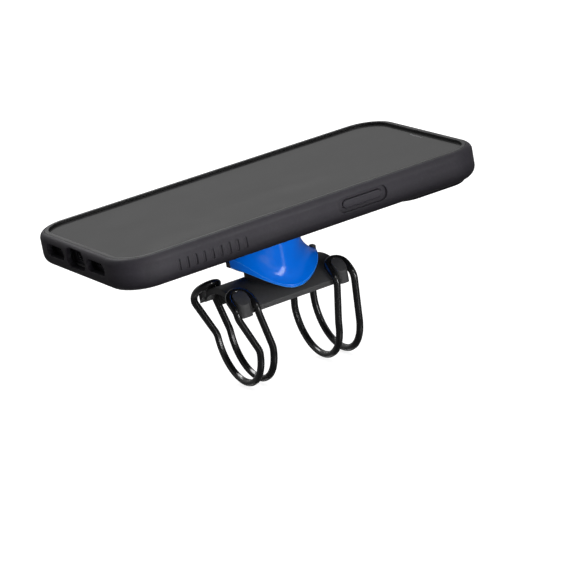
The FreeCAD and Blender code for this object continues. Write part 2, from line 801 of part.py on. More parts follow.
def make_case_button(label, x, length, side):
    """A bar that shows in the case's side, with a flange behind the wall."""
    z = dim("button_z")
    face = dim("case_width") / 2 - dim("recess_depth") + dim("bar_proud") + 0.4
    inner = dim("phone_width") / 2 + 0.3
    shoulder = dim("case_width") / 2 - dim("shell_wall") - 0.06
    grow = 2 * dim("button_flange")
    span = dim("bar_height")
    bar_start = inner + 0.1 if side > 0 else -face
    bar = slug(label + "_bar", "Y", (x, z), bar_start, face - inner - 0.1, length, span, 1.4)
    outer_y = side * face
    bar = rounded(label + "_soft", bar, 0.35,
                  lambda e: abs(e.BoundBox.YMin - outer_y) < 1e-4 and abs(e.BoundBox.YMax - outer_y) < 1e-4)
    flange_start = inner if side > 0 else -shoulder
    depth = shoulder - inner
    flange = slug(label + "_flange", "Y", (x, z), flange_start, depth, length + grow, span + grow, 1.5)
    return node(fused(label, bar, flange), label)


def make_liner():
    inset = dim("shell_wall") + dim("bumper_gap") + dim("bumper_wall") + 0.15
    floor = dim("case_bottom_z") + dim("shell_floor") + FIT_GAP
    body = plate("liner_sheet", dim("case_length") - 2 * inset, dim("case_width") - 2 * inset,
                 dim("case_corner") - inset, floor, "liner_thickness")
    size = dim("guard_hole") + 1.0
    hole = plate("liner_hole", size, size, dim("guard_corner"), 40, 10, "camera_x", "camera_y")
    return node(minus("case_liner", body, hole), "case_liner")


def make_socket():
    low = dim("case_bottom_z")
    lip_top = low + dim("socket_lip")
    disc = rod("socket_disc", "Z", "socket_radius", "case_bottom_z", "{socket_top_z} - {case_bottom_z}")
    disc = rounded("socket_soft", disc, 0.4, at_height(low))
    hole = rod("socket_hole", "Z", "socket_hole_radius", 40, lip_top - 40 + 0.5)
    reach = rod("slot_reach", "Z", "slot_radius", 40, lip_top - 40 + 0.5)
    bars = [
        block("slot_bar_0", -20, "-{slot_width} / 2", 39, 40, "slot_width", 10),
        block("slot_bar_1", -20, "-{slot_width} / 2", 39, 40, "slot_width", 10),
    ]
    for bar, angle in zip(bars, (45, 135)):
        spin = FreeCAD.Placement(FreeCAD.Vector(), FreeCAD.Rotation(FreeCAD.Vector(0, 0, 1), angle))
        bar.setExpression("Placement.Base.x", None)
        bar.setExpression("Placement.Base.y", None)
        bar.setExpression("Placement.Base.z", None)
        bar.Placement = spin * FreeCAD.Placement(
            FreeCAD.Vector(-20, -dim("slot_width") / 2, 39), FreeCAD.Rotation()
        )
    slots = shared("slots", fused("slot_bars", *bars), reach)
    cavity = rod("socket_cavity", "Z", "cavity_radius", lip_top, dim("socket_roof_z") - lip_top)
    body = minus("socket_body", disc, hole, slots, cavity)

    def stop(k):
        width = dim("stop_width")
        height = dim("socket_roof_z") - lip_top + 0.3
        base = block(f"stop_{k}", 9.2, -width / 2, lip_top - 0.2, 2.4, width, height)
        doc.recompute()
        spot = base.Placement
        for axis in "xyz":
            base.setExpression("Placement.Base." + axis, None)
        base.Placement = spot
        return base

    stops = around(stop, [dim("stop_angle") + 90 * k for k in range(4)])
    return node(fused("lock_socket", body, *stops), "lock_socket")


def make_guard():
    low = dim("case_bottom_z") - dim("guard_drop")
    top = dim("case_bottom_z") + dim("shell_floor")
    spot = ("camera_x", "camera_y")
    body = plate("guard_outer", "guard_size", "guard_size", "guard_corner", low, top - low, *spot)
    body_fillet(body, 1.1, at_height(low))
    hole = plate("guard_opening", "guard_hole", "guard_hole", dim("guard_corner") - 1.5, 30, 30,
                 "camera_x", "camera_y")
    return node(minus("camera_guard", body, hole), "camera_guard")


# ---------------------------------------------------------------- phone


def make_frame():
    length, width, corner = dim("phone_length"), dim("phone_width"), dim("phone_corner")
    back = dim("phone_back_z") + dim("back_glass_thickness") + FIT_GAP
    front = dim("phone_front_z") - dim("screen_thickness") - FIT_GAP
    body = plate("frame_outer", "phone_length", "phone_width", "phone_corner", back, front - back)
    wall = dim("frame_wall")
    inside = (length - 2 * wall, width - 2 * wall, corner - wall)
    under = plate("frame_under", *inside, back - 1, dim("midplate_z") - back + 1)
    over_z = dim("midplate_z") + dim("midplate_thickness")
    over = plate("frame_over", *inside, over_z, 10)
    z = dim("opening_z")
    tools = [under, over, slug("frame_port", "X", (0.0, z), -length / 2 - 1, wall + 2, 9.0, 3.2, 1.4)]
    for side in (-1, 1):
        for k in range(SPEAKER_HOLES):
            y = side * (dim("vent_y") + (k - (SPEAKER_HOLES - 1) / 2) * SPEAKER_PITCH)
            tools.append(rod(f"frame_hole_{side + 1}{k}", "X", 0.75, -length / 2 - 1, wall + 2, y, z))
    half = width / 2
    button = dim("button_z")
    for name, x, size, side in PHONE_BUTTONS:
        start = -half - 1 if side < 0 else half - wall - 1
        tools.append(slug(name + "_slot", "Y", (dim(x), button), start, wall + 2, size + 0.16, 2.76, 1.25))
    spot = (dim("mute_x"), button)
    tools.append(slug("mute_slot", "Y", spot, half - wall - 1, wall + 2, 6.2, 2.76, 1.25))
    return node(minus("phone_frame", body, *tools), "phone_frame")


def make_phone_button(label, x, length, side):
    """A small bar in the phone's edge, with a stem inwards to its switch."""
    half = dim("phone_width") / 2
    z = dim("button_z")
    proud = dim("bar_proud")
    start = half - 1.6 if side > 0 else -half - proud
    bar = slug(label, "Y", (dim(x), z), start, 1.6 + proud, length, 2.6, 1.2)
    return node(bar, label)


def make_phone():
    inset = dim("glass_inset")
    glass = (dim("phone_length") - 2 * inset, dim("phone_width") - 2 * inset, dim("phone_corner") - inset)
    make_frame()
    back = plate("back_glass", *glass, "phone_back_z", "back_glass_thickness")
    body_fillet(back, 0.5, at_height(dim("phone_back_z")))
    node(back, "back_glass")

    front = dim("phone_front_z")
    screen = plate("screen_sheet", *glass, "{phone_front_z} - {screen_thickness}", "screen_thickness")
    body_fillet(screen, 0.3, at_height(front))
    slot_x = dim("phone_length") / 2 - 3.2
    earpiece = slug_flat("earpiece_slot", slot_x, 0.0, front - 0.4, 1.2, 9.0, 1.0)
    node(minus("screen_glass", screen, earpiece), "screen_glass")
    mesh = slug_flat("earpiece_mesh", slot_x, 0.0, front - 0.38, 1.1, 8.9, 0.3)
    node(mesh, "earpiece_mesh")

    inner = (dim("phone_length") - 6, dim("phone_width") - 6, dim("phone_corner") - 3)
    panel_z = dim("midplate_z") + dim("midplate_thickness") + FIT_GAP
    panel_top = front - dim("screen_thickness") - 0.06
    panel = plate("panel_sheet", *inner, panel_z, panel_top - panel_z)
    camera_hole = rod("panel_hole", "Z", 2.6, 50, 5, 66.0, 6.5)
    node(minus("display_panel", panel, camera_hole), "display_panel")
    node(rod("front_camera", "Z", 2.2, panel_z, 0.9, 66.0, 6.5), "front_camera")

    floor = dim("phone_back_z") + dim("back_glass_thickness") + 0.1
    battery = plate("battery", 78.0, 38.0, 2.0, floor + 0.1, 3.8, -12.0, -11.0)
    node(battery, "battery")
    board = plate("board_sheet", 60.0, 20.0, 1.5, floor + 0.8, 0.9, 5.0, 20.5)
    shields = [
        block("shield_0", -18, 13, floor + 1.6, 22, 14, 1.4),
        block("shield_1", 8, 13, floor + 1.6, 18, 15, 1.2),
    ]
    node(fused("logic_board", board, *shields), "logic_board")
    camera = plate("camera_module", 26.0, 26.0, 3.0, floor, 4.0, "camera_x", "camera_y")
    node(camera, "camera_module")
    node(plate("haptic_motor", 12.0, 22.0, 1.5, floor, 3.6, -63.0, -18.5), "haptic_motor")
    node(plate("speaker_box", 12.0, 22.0, 2.5, floor, 3.6, -63.0, 18.5), "speaker_box")
    make_port(floor)
    make_camera_plate()


def slug_flat(name, x, y, z, length, width, height):
    """A small rounded tile lying flat."""
    base = block(name + "_block", x - length / 2, y - width / 2, z, length, width, height)
    return rounded(name, base, min(length, width) * 0.45, along("Z"))


def make_port(floor):
    """The charge receptacle and the two meshes behind the lower end's holes."""
    wall = dim("frame_wall")
    start = -dim("phone_length") / 2 + 0.6
    z = dim("opening_z")
    tube = slug("port_tube", "X", (0.0, z), start, 7.4, 8.9, 3.1, 1.4)
    mouth = slug("port_mouth", "X", (0.0, z), start - 1, 7.0, 8.3, 2.5, 1.15)
    tongue = block("port_tongue", start + 1.5, -3.2, z - 0.35, 5.0, 6.4, 0.7)
    node(fused("charge_port", minus("port_shell", tube, mouth), tongue), "charge_port")
    inside = -dim("phone_length") / 2 + wall + FIT_GAP
    for label, side in (("speaker_mesh", 1), ("mic_mesh", -1)):
        y = side * dim("vent_y")
        node(slug(label, "X", (y, z), inside, 0.4, 11.6, 2.4, 0.6), label)


def make_camera_plate():
    top = dim("phone_back_z") - FIT_GAP
    low = top - dim("plate_drop")
    x, y = dim("camera_x"), dim("camera_y")
    offset = dim("lens_offset")
    height = top - low
    body = plate(
        "camera_sheet", "plate_size", "plate_size", "plate_corner", low, height, "camera_x", "camera_y"
    )
    body_fillet(body, 0.4, at_height(low))
    spots = {"main": (x + offset, y - offset), "wide": (x - offset, y + offset)}
    holes = [rod(f"plate_hole_{k}", "Z", "{lens_ring_radius} + 0.03", low - 2, 5, *spot)
             for k, spot in enumerate(spots.values())]
    flash = (x + offset, y + offset)
    holes.append(rod("plate_flash", "Z", 2.53, low - 2, 5, *flash))
    node(minus("camera_plate", body, *holes), "camera_plate")
    node(rod("flash_lens", "Z", 2.5, low, top - low, *flash), "flash_lens")
    ring_low = low - dim("lens_ring_drop")
    for name, spot in spots.items():
        label = name + "_lens_ring"
        ring = rod(label + "_rod", "Z", "lens_ring_radius", ring_low, top - ring_low, *spot)
        ring = rounded(label + "_soft", ring, 0.3, at_height(ring_low))
        hole = rod(label + "_hole", "Z", "{lens_radius} + 0.03", ring_low - 2, 6, *spot)
        node(minus(label, ring, hole), label)
        glass = rod(name + "_lens_disc", "Z", "lens_radius", ring_low + 0.35, top - ring_low - 0.35, *spot)
        node(glass, name + "_lens")


def make_mute_switch():
    """A small slider that runs along the phone's edge."""
    half = dim("phone_width") / 2
    spot = (dim("mute_x") - 0.8, dim("button_z"))
    return node(slug("mute_switch", "Y", spot, half - 1.6, 1.85, 4.4, 2.6, 1.2), "mute_switch")


PHONE_BUTTONS = (
    ("phone_power_button", "power_x", 15.0, -1),
    ("phone_volume_up_button", "volume_up_x", 9.2, 1),
    ("phone_volume_down_button", "volume_down_x", 9.2, 1),
)


def make_all():
    make_saddle()
    make_pad()
    make_band("rear_band", [("rear_outer", "band_low_radius"), ("rear_inner", "band_low_radius")])
    make_band("front_band", [("front_inner", "band_low_radius"), ("front_outer", "band_free_radius")])
    make_fasteners()
    make_lock_head()
    make_collar()
    make_spring()
    make_shell()
    make_bumper()
    make_case_button("case_power_button", dim("power_x"), dim("power_bar_length"), -1)
    make_case_button("case_volume_up_button", dim("volume_up_x"), dim("volume_bar_length"), 1)
    make_case_button("case_volume_down_button", dim("volume_down_x"), dim("volume_bar_length"), 1)
    make_liner()
    make_socket()
    make_guard()
    make_phone()
    for label, x, length, side in PHONE_BUTTONS:
        make_phone_button(label, x, length, side)
    make_mute_switch()


def solid_of(item):
    """The sub-part's one solid, checked."""
    shape = item.Shape
    if shape.isNull() or not shape.isValid():
        raise RuntimeError(f"{item.Label} has no valid shape")
    if len(shape.Solids) != 1:
        raise RuntimeError(f"{item.Label} has {len(shape.Solids)} solids")
    return shape.Solids[0]


make_all()
doc.recompute()
for item in doc.Objects:
    if "Invalid" in item.State or "Error" in item.State:
        raise RuntimeError(f"{item.Name} did not build: {item.State}")
for item, label in nodes:
    solid = solid_of(item)
    box = solid.BoundBox
    print(f"{label:26s} {solid.Volume:10.2f}  x {box.XMin:7.2f} {box.XMax:7.2f}"
          f"  y {box.YMin:7.2f} {box.YMax:7.2f}  z {box.ZMin:7.2f} {box.ZMax:7.2f}")
    solid.exportStep(f"parts/{label}.step")
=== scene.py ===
"""A phone in a twist-lock case, held over a bicycle stem by a base that two elastic bands strap on.

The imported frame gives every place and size. This script paints each CAD node, stands modelled pieces in for
the bands, the grip pad, the spring and the cloth liner, and sets the floor, the light and the camera.
"""

import json
import math

import bmesh
import bpy
from mathutils import Matrix, Vector


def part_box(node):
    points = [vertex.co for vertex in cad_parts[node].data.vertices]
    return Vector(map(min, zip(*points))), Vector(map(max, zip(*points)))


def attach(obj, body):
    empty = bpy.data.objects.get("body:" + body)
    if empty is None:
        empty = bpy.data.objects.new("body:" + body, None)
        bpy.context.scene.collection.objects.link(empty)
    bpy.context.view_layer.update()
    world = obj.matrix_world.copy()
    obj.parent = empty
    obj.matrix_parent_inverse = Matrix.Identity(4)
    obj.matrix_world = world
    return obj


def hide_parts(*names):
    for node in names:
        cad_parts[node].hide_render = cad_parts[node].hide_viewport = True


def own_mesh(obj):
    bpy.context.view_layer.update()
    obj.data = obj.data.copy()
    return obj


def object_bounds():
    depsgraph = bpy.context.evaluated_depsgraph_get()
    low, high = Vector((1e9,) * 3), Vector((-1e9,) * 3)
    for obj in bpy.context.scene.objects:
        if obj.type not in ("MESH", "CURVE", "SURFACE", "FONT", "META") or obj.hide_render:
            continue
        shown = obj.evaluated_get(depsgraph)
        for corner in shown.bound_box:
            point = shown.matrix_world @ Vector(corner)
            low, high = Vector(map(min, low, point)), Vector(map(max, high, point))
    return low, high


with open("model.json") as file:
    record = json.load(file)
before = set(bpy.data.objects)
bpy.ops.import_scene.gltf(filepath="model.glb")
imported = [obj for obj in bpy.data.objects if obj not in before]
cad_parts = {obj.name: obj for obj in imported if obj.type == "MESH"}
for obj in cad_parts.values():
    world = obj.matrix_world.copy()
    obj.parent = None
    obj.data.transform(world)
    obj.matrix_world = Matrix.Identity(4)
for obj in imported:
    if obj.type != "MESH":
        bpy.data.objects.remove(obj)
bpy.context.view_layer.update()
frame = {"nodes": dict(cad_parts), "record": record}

scene = bpy.context.scene
MM = 0.001
TURN = 2 * math.pi
WHITE = (1, 1, 1)
CASE_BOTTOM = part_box("case_shell")[0].z
CASE_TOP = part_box("case_bumper")[1].z


def direction(azimuth, elevation):
    """A unit vector to a spot round the object. Azimuth 0 is on the -Y side and 90 on the +X side."""
    a, e = math.radians(azimuth), math.radians(elevation)
    return Vector((math.sin(a) * math.cos(e), -math.cos(a) * math.cos(e), math.sin(e)))


# ---------------------------------------------------------------- materials

# how far the softened normal agrees with the true one, at a full edge and on flat ground
EDGE_SPAN = (0.86, 0.995)
# how many bands the wave texture draws in a unit at a scale of 1
BANDS_PER_SCALE = 3.2


class Look:
    """A short way to build one node material on a Principled shader."""

    def __init__(self, name):
        self.material = bpy.data.materials.new(name)
        self.material.use_nodes = True
        self.tree = self.material.node_tree
        self.shader = self.tree.nodes["Principled BSDF"]
        self.where = self.add("ShaderNodeTexCoord").outputs["Object"]

    def add(self, kind, **settings):
        """A new node with the given settings."""
        node = self.tree.nodes.new(kind)
        for key, value in settings.items():
            setattr(node, key, value)
        return node

    def join(self, start, end):
        self.tree.links.new(start, end)

    def give(self, socket, value):
        """Set an input to a number or a colour, or link it."""
        if isinstance(value, bpy.types.NodeSocket):
            self.join(value, socket)
        elif isinstance(value, tuple) and len(value) == 3 and socket.type == "RGBA":
            socket.default_value = (*value, 1)
        else:
            socket.default_value = value

    def principled(self, **values):
        """Set or link the shader's inputs, each named with _ for a space."""
        for key, value in values.items():
            self.give(self.shader.inputs[key.replace("_", " ")], value)

    def stretched(self, x, y, z):
        """Object coordinates scaled by each axis."""
        mapping = self.add("ShaderNodeMapping")
        mapping.inputs["Scale"].default_value = (x, y, z)
        self.join(self.where, mapping.inputs["Vector"])
        return mapping.outputs["Vector"]

    def noise(self, scale, detail=3.0, rough=0.55, where=None, distortion=0.0):
        """A noise field; scale is in features per metre."""
        node = self.add("ShaderNodeTexNoise")
        node.inputs["Scale"].default_value = scale
        node.inputs["Detail"].default_value = detail
        node.inputs["Roughness"].default_value = rough
        node.inputs["Distortion"].default_value = distortion
        self.join(where or self.where, node.inputs["Vector"])
        return node.outputs["Fac"]

    def cells(self, scale, feature="F1", randomness=1.0):
        """Distances in a field of cells; scale is in cells per metre."""
        node = self.add("ShaderNodeTexVoronoi", feature=feature)
        node.inputs["Scale"].default_value = scale
        node.inputs["Randomness"].default_value = randomness
        self.join(self.where, node.inputs["Vector"])
        return node.outputs["Distance"]

    def span(self, value, low, high, start=0.0, end=1.0):
        """Map a field from start..end to low..high, clamped."""
        node = self.add("ShaderNodeMapRange")
        self.give(node.inputs["Value"], value)
        node.inputs["From Min"].default_value = start
        node.inputs["From Max"].default_value = end
        node.inputs["To Min"].default_value = low
        node.inputs["To Max"].default_value = high
        return node.outputs["Result"]

    def fade(self, value, start, end, top=1.0):
        """0 where a field is under start, rising to top where it passes end."""
        return self.span(value, 0, top, start, end)

    def math(self, operation, a, b=0.0):
        """A field worked out from two others or from numbers."""
        node = self.add("ShaderNodeMath", operation=operation)
        self.give(node.inputs[0], a)
        self.give(node.inputs[1], b)
        return node.outputs["Value"]

    def mixed(self, factor, a, b):
        """A colour between a and b."""
        node = self.add("ShaderNodeMix", data_type="RGBA")
        self.give(node.inputs["Factor"], factor)
        self.give(node.inputs[6], a)
        self.give(node.inputs[7], b)
        return node.outputs[2]

    def edges(self, radius=0.35 * MM):
        """1 along sharp edges, 0 on flat ground, and the softened normal."""
        bevel = self.add("ShaderNodeBevel", samples=6)
        bevel.inputs["Radius"].default_value = radius
        ground = self.add("ShaderNodeNewGeometry")
        dot = self.add("ShaderNodeVectorMath", operation="DOT_PRODUCT")
        self.join(bevel.outputs["Normal"], dot.inputs[0])
        self.join(ground.outputs["Normal"], dot.inputs[1])
        return self.span(dot.outputs["Value"], 1.0, 0.0, *EDGE_SPAN), bevel.outputs["Normal"]

    def upright(self, field):
        """The vertical part of the world Position or Normal, which turning the case leaves alone."""
        ground = self.add("ShaderNodeNewGeometry")
        split = self.add("ShaderNodeSeparateXYZ")
        self.join(ground.outputs[field], split.inputs["Vector"])
        return split.outputs["Z"]

    def bump(self, height, distance, normal=None, strength=1.0):
        """A normal tilted by a height field that spans the distance."""
        node = self.add("ShaderNodeBump")
        node.inputs["Strength"].default_value = strength
        node.inputs["Distance"].default_value = distance
        self.join(height, node.inputs["Height"])
        if normal is not None:
            self.join(normal, node.inputs["Normal"])
        return node.outputs["Normal"]


def shade(colour, factor):
    """The colour made lighter or darker."""
    return tuple(min(1.0, c * factor) for c in colour)


def moulded(look, colour, roughness, grain=5200.0, depth=0.02 * MM, wear=1.5, specular=0.5):
    """Moulded plastic: a fine spark-eroded grain, faint flow marks, and edges rubbed a little lighter."""
    rim, soft = look.edges()
    flow = look.noise(38, 2.0, where=look.stretched(0.6, 1.0, 1.6))
    speck = look.noise(900, 2.0)
    base = look.mixed(look.fade(flow, 0.3, 0.7), shade(colour, 0.9), shade(colour, 1.1))
    base = look.mixed(look.fade(speck, 0.45, 0.75, 0.35), base, shade(colour, 1.35))
    base = look.mixed(look.math("MULTIPLY", rim, 0.55), base, shade(colour, wear))
    rubbed = look.math("MULTIPLY", rim, -0.08)
    patches = look.span(look.noise(120, 3.0), roughness - 0.05, roughness + 0.05, 0.3, 0.7)
    pits = look.noise(grain, 2.0, 0.6)
    look.principled(
        Base_Color=base,
        Roughness=look.math("ADD", patches, rubbed),
        Normal=look.bump(pits, depth, soft),
        Specular_IOR_Level=specular,
    )
    return base


# Painted shade on the shell: its brightness at its lower edge and on its back, the heights that the first
# fades over, and the upright parts of the normal that the second fades over.
SHADE_EDGE_BRIGHTNESS, SHADE_BACK_BRIGHTNESS = 0.27, 0.7
SHADE_EDGE_HEIGHTS = (0.1 * MM, 7.1 * MM)
SHADE_BACK_NORMALS = (-0.995, -0.965)


def shell(look, colour, roughness, grain, depth, wear, specular):
    """Moulded plastic with painted shade that darkens it and dims its sheen towards the case's rounded lower
    edge, and less on its flat back.
    """
    base = moulded(look, colour, roughness, grain, depth, wear)
    # painted shade: colour and sheen darker towards the lower edge, less dark on the flat back
    side = look.span(look.upright("Position"), SHADE_EDGE_BRIGHTNESS, 1.0, *(CASE_BOTTOM + rise for rise in SHADE_EDGE_HEIGHTS))
    back = look.span(look.upright("Normal"), SHADE_BACK_BRIGHTNESS, 0.0, *SHADE_BACK_NORMALS)
    painted_shade = look.math("MAXIMUM", side, back)
    look.principled(
        Base_Color=look.mixed(painted_shade, (0, 0, 0), base),
        Specular_IOR_Level=look.math("MULTIPLY", painted_shade, specular),
    )


def glossy(look, colour, painted_highlight_colour):
    """Glossy coloured plastic: slight ripple, hairline scratches, and a painted highlight that makes it paler
    along the edges.
    """
    rim, soft = look.edges(0.45 * MM)
    cloud = look.noise(60, 2.0)
    base = look.mixed(look.fade(cloud, 0.35, 0.7), colour, shade(colour, 0.93))
    hairs = look.noise(1400, 4.0, where=look.stretched(0.12, 1.0, 1.0))
    base = look.mixed(look.fade(hairs, 0.6, 0.8, 0.12), base, shade(colour, 1.5))
    # painted highlight: the edges are mixed towards a paler blue
    base = look.mixed(look.math("MULTIPLY", rim, 0.8), base, painted_highlight_colour)
    ripple = look.bump(look.noise(180, 1.0), 0.05 * MM, soft, 0.5)
    look.principled(
        Base_Color=base,
        Roughness=look.span(look.noise(300, 4.0), 0.13, 0.19, 0.35, 0.7),
        Normal=look.bump(hairs, 0.004 * MM, ripple, 0.7),
        Specular_IOR_Level=0.3,
        Coat_Weight=0.12,
        Coat_Roughness=0.08,
    )


def rubber(look, colour, roughness, grain=2600.0, depth=0.015 * MM, gloss=0.0):
    """Moulded rubber: soft grain, and a dusty bloom in patches."""
    bloom = look.noise(160, 4.0, 0.6)
    look.principled(
        Base_Color=look.mixed(look.fade(bloom, 0.42, 0.72), colour, shade(colour, 1.5)),
        Roughness=look.span(look.noise(90, 2.0), roughness - 0.03, roughness + 0.05, 0.35, 0.7),
        Normal=look.bump(look.noise(grain, 3.0), depth),
        Coat_Weight=gloss,
        Coat_Roughness=0.13,
    )


def metal(look, colour, roughness, brush=(1.0, 1.0, 1.0), grain=2400.0):
    """Metal with a drawn or brushed finish and brighter edges."""
    rim, soft = look.edges(0.15 * MM)
    lines = look.noise(grain, 4.0, where=look.stretched(*brush))
    base = look.mixed(look.fade(lines, 0.35, 0.7), shade(colour, 0.85), shade(colour, 1.1))
    look.principled(
        Base_Color=look.mixed(look.math("MULTIPLY", rim, 0.5), base, shade(colour, 1.5)),
        Roughness=look.span(lines, roughness - 0.06, roughness + 0.1, 0.3, 0.75),
        Metallic=1.0,
        Normal=look.bump(lines, 0.006 * MM, soft),
    )


def glass(look, colour, roughness, smudge):
    """Dark coated glass: deep base, thin smudges and dust in the gloss."""
    film = look.noise(45, 5.0, 0.62, distortion=1.2)
    wipes = look.noise(24, 3.0, where=look.stretched(0.5, 2.2, 1.0), distortion=2.0)
    both = look.math("MULTIPLY", film, wipes)
    dust = look.fade(look.noise(5200, 1.0), 0.74, 0.8)
    base = look.mixed(look.fade(both, 0.16, 0.42), colour, shade(colour, 1.25))
    look.principled(
        Base_Color=look.mixed(look.math("MULTIPLY", dust, 0.25), base, (0.25, 0.25, 0.26)),
        Roughness=look.span(both, roughness, roughness + smudge, 0.12, 0.42),
        Specular_IOR_Level=0.5,
        Coat_Weight=0.5,
        Coat_Roughness=0.04,
    )


def lens(look, middle, rim):
    """A coated lens: black in the middle, tinted towards the rim, with a few specks."""
    facing = look.add("ShaderNodeLayerWeight")
    facing.inputs["Blend"].default_value = 0.35
    tint = look.mixed(facing.outputs["Facing"], middle, rim)
    specks = look.fade(look.noise(3800, 1.0), 0.76, 0.82)
    look.principled(
        Base_Color=look.mixed(look.math("MULTIPLY", specks, 0.2), tint, (0.2, 0.2, 0.22)),
        Roughness=look.span(look.noise(200, 3.0), 0.02, 0.06, 0.3, 0.7),
        Coat_Weight=1.0,
        Coat_Tint=(0.75, 0.7, 1.0),
    )


def woven(look, colour, pitch=0.55 * MM):
    """A plain weave: warp and weft ribs that pass over and under."""
    threads = []
    for axis in ("X", "Y"):
        wave = look.add("ShaderNodeTexWave", wave_type="BANDS", bands_direction=axis)
        wave.inputs["Scale"].default_value = 1.0 / pitch / BANDS_PER_SCALE
        wave.inputs["Distortion"].default_value = 0.4
        look.join(look.where, wave.inputs["Vector"])
        threads.append(wave.outputs["Fac"])
    weave = look.math("MAXIMUM", *threads)
    fuzz = look.noise(2600, 4.0)
    base = look.mixed(look.fade(weave, 0.2, 1.0), shade(colour, 0.55), shade(colour, 1.2))
    look.principled(
        Base_Color=look.mixed(look.fade(fuzz, 0.45, 0.8, 0.4), base, shade(colour, 1.7)),
        Roughness=look.span(fuzz, 0.8, 0.98),
        Normal=look.bump(fuzz, 0.03 * MM, look.bump(weave, 0.08 * MM)),
        Sheen_Weight=0.4,
    )


def foil(look, colour):
    """A wrapped battery cell: crinkled film over a flat block."""
    crinkle = look.cells(260, "DISTANCE_TO_EDGE")
    patches = look.fade(look.noise(90, 3.0), 0.3, 0.7)
    look.principled(
        Base_Color=look.mixed(patches, shade(colour, 0.8), shade(colour, 1.25)),
        Roughness=look.span(look.noise(320, 3.0), 0.3, 0.5),
        Normal=look.bump(look.fade(crinkle, 0, 0.25), 0.06 * MM),
    )


def circuit(look, mask, pale_mask, trace, tin):
    """Solder mask over traces, with dull tin spots."""
    grid = look.cells(620, "DISTANCE_TO_EDGE", randomness=0.25)
    traces = look.span(grid, 1, 0, 0.05, 0.16)
    spots = look.span(look.cells(900, randomness=0.9), 1, 0, 0.1, 0.22)
    base = look.mixed(look.fade(look.noise(50, 2.0), 0.3, 0.7), mask, pale_mask)
    base = look.mixed(look.math("MULTIPLY", traces, 0.6), base, trace)
    look.principled(
        Base_Color=look.mixed(look.math("MULTIPLY", spots, 0.7), base, tin),
        Roughness=look.span(spots, 0.45, 0.3),
        Metallic=spots,
        Normal=look.bump(traces, 0.02 * MM),
    )


def perforated(look, colour, hole):
    """Fine acoustic mesh: a grid of dark holes in drawn wire."""
    mask = look.fade(look.cells(2600, randomness=0.0), 0.25, 0.42)
    base = look.mixed(mask, hole, colour)
    look.principled(
        Base_Color=look.mixed(look.fade(look.noise(700, 3.0), 0.4, 0.8, 0.3), base, shade(colour, 1.4)),
        Roughness=0.45,
        Metallic=look.fade(mask, 0, 1, 0.8),
        Normal=look.bump(mask, 0.05 * MM),
    )


FINISHES = {
    "base_plastic": (moulded, dict(colour=(0.05, 0.05, 0.052), roughness=0.48, grain=3600, depth=0.03 * MM)),
    "head_plastic": (moulded, dict(colour=(0.016, 0.016, 0.018), roughness=0.5, grain=3600)),
    "socket_plastic": (moulded, dict(colour=(0.02, 0.02, 0.022), roughness=0.5, grain=3200, depth=0.03 * MM)),
    "module_dark": (moulded, dict(colour=(0.03, 0.03, 0.033), roughness=0.45, grain=2400)),
    "tip_dark": (moulded, dict(colour=(0.012, 0.012, 0.016), roughness=0.4)),
    # the case's finish carries painted shade along its lower edge, from shell()
    "case_charcoal": (shell, dict(
        colour=(0.038, 0.035, 0.043), roughness=0.5, grain=5200, depth=0.018 * MM, wear=1.25, specular=0.3)),
    # the collar's paler edge colour is a painted highlight
    "collar_blue": (glossy, dict(colour=(0.0, 0.185, 0.95), painted_highlight_colour=(0.12, 0.45, 0.98))),
    "bumper_rubber": (rubber, dict(colour=(0.009, 0.009, 0.01), roughness=0.55)),
    "band_rubber": (rubber, dict(
        colour=(0.005, 0.005, 0.0055), roughness=0.26, grain=1500, depth=0.0006 * MM, gloss=0.9)),
    "pad_rubber": (rubber, dict(colour=(0.016, 0.016, 0.016), roughness=0.7, grain=2200, depth=0.03 * MM)),
    "insert_brass": (metal, dict(colour=(0.72, 0.5, 0.2), roughness=0.3, brush=(1, 1, 0.08))),
    "screw_steel": (metal, dict(colour=(0.12, 0.12, 0.125), roughness=0.36)),
    "washer_steel": (metal, dict(colour=(0.55, 0.55, 0.57), roughness=0.32)),
    "spring_steel": (metal, dict(colour=(0.6, 0.6, 0.62), roughness=0.26, brush=(1, 1, 0.1))),
    "phone_metal": (metal, dict(colour=(0.13, 0.13, 0.145), roughness=0.34, grain=6000)),
    "port_steel": (metal, dict(colour=(0.42, 0.42, 0.44), roughness=0.3, brush=(0.1, 1, 1))),
    "lens_ring": (metal, dict(colour=(0.2, 0.2, 0.22), roughness=0.22)),
    "mesh": (perforated, dict(colour=(0.12, 0.12, 0.125), hole=(0.004, 0.004, 0.004))),
    "screen": (glass, dict(colour=(0.012, 0.012, 0.012), roughness=0.16, smudge=0.08)),
    "back_glass": (glass, dict(colour=(0.02, 0.024, 0.034), roughness=0.2, smudge=0.12)),
    "panel": (glass, dict(colour=(0.012, 0.012, 0.016), roughness=0.2, smudge=0.1)),
    "flash": (glass, dict(colour=(0.75, 0.68, 0.42), roughness=0.12, smudge=0.1)),
    "lens_glass": (lens, dict(middle=(0.008, 0.007, 0.016), rim=(0.018, 0.026, 0.06))),
    "battery_foil": (foil, dict(colour=(0.05, 0.05, 0.055))),
    "board_green": (circuit, dict(
        mask=(0.008, 0.05, 0.025), pale_mask=(0.012, 0.075, 0.035),
        trace=(0.03, 0.16, 0.07), tin=(0.55, 0.55, 0.52))),
    "liner_cloth": (woven, dict(colour=(0.04, 0.04, 0.045))),
}


def make_looks():
    """One material for each slot in the record."""
    looks = {}
    for name, (finish, values) in FINISHES.items():
        look = Look(name)
        finish(look, **values)
        looks[name] = look.material
    return looks


LOOKS = make_looks()


def paint_nodes():
    """Each CAD node takes the look its material slot in the record names."""
    for part in frame["record"]["subparts"]:
        item = frame["nodes"][part["node"]]
        material = LOOKS[part["material_slot"]]
        if not item.data.materials:
            item.data.materials.append(material)
        for slot in item.material_slots:
            slot.material = material


